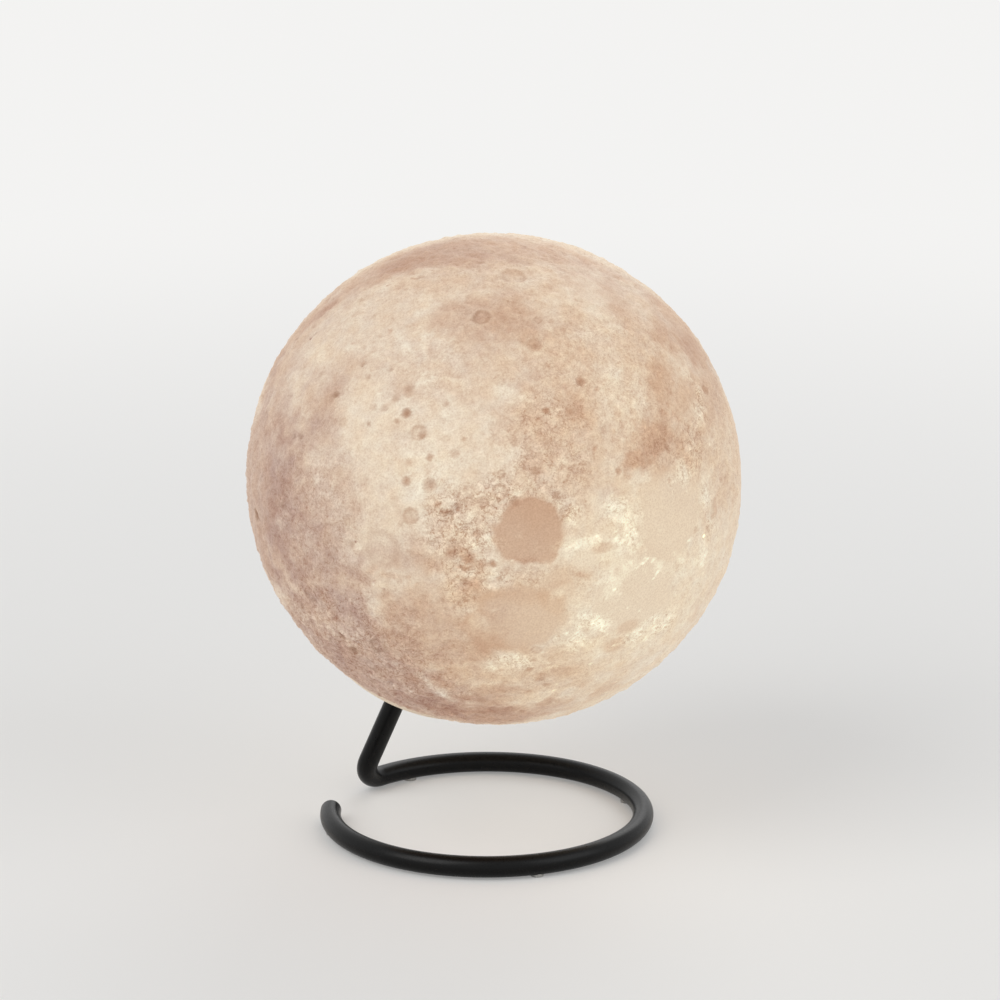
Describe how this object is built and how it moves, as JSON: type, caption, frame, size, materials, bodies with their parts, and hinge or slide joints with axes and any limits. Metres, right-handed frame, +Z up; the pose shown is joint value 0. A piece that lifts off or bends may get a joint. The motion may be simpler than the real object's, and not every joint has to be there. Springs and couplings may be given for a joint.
{
  "type": "moon lamp",
  "caption": "Glowing hollow moon that lifts off and turns on the leaning end of a bent black rod, whose lower part lies on the table as an open ring.",
  "frame": {"origin": "on the table, straight below the moon's centre, which is also the middle of the overall box", "axes": "+Z up, +X to the right and -Y towards the viewer of the picture; the rod leans from the back left towards the moon's centre"},
  "size_m": [0.15, 0.15, 0.1864],
  "materials": {
    "stand_rod": "satin black paint",
    "foot_pads": "clear silicone",
    "swivel_bush": "natural nylon",
    "moon_shell": "matt print with a moon relief, lit from inside",
    "mouth_collar": "fine matt",
    "base_cap": "fine matt",
    "cap_screws": "plated",
    "rod_sleeve": "turned",
    "sleeve_screws": "plated",
    "button_cap": "fine matt",
    "switch_plunger": "moulded",
    "tact_switch": "moulded",
    "usb_port": "plated",
    "usb_tongue": "moulded",
    "light_pipe": "clear",
    "status_led": "moulded",
    "control_board": "solder mask",
    "board_components": "moulded",
    "board_screws": "plated",
    "lead_sockets": "moulded",
    "lead_plugs": "moulded",
    "battery_leads": "soft plastic",
    "led_leads": "soft plastic",
    "battery_cell": "foil pouch",
    "cell_board": "tape over a small board",
    "battery_pad": "foam",
    "housing": "fine matt",
    "heat_plate": "brushed",
    "led_board": "white solder mask",
    "led_chips": "phosphor",
    "led_screws": "plated",
    "led_dome": "opal"
  },
  "bodies": {
    "stand": {"stand_rod": "stand_rod", "foot_pads": "foot_pads"},
    "bush": {"swivel_bush": "swivel_bush"},
    "moon": {"moon_shell": "moon_shell", "mouth_collar": "mouth_collar", "base_cap": "base_cap", "cap_screws": "cap_screws", "rod_sleeve": "rod_sleeve", "sleeve_screws": "sleeve_screws", "tact_switch": "tact_switch", "usb_port": "usb_port", "usb_tongue": "usb_tongue", "light_pipe": "light_pipe", "status_led": "status_led", "control_board": "control_board", "board_components": "board_components", "board_screws": "board_screws", "lead_sockets": "lead_sockets", "lead_plugs": "lead_plugs", "battery_leads": "battery_leads", "led_leads": "led_leads", "battery_cell": "battery_cell", "cell_board": "cell_board", "battery_pad": "battery_pad", "housing": "housing", "heat_plate": "heat_plate", "led_board": "led_board", "led_chips": "led_chips", "led_screws": "led_screws", "led_dome": "led_dome"},
    "button": {"button_cap": "button_cap", "switch_plunger": "switch_plunger"}
  },
  "joints": [
    {"name": "moon_swivel", "type": "hinge", "parent": "stand", "child": "bush", "pos_m": [0, 0, 0.1114], "axis": [0.3636, -0.2353, 0.9013], "continuous": true},
    {"name": "moon_lift", "type": "slide", "parent": "bush", "child": "moon", "axis": [0.3636, -0.2353, 0.9013], "range_m": [0, 0.05]},
    {"name": "button_press", "type": "slide", "parent": "moon", "child": "button", "axis": [0.3636, -0.2353, 0.9013], "range_m": [0, 0.0005], "stiffness_N_per_m": 3000}
  ]
}
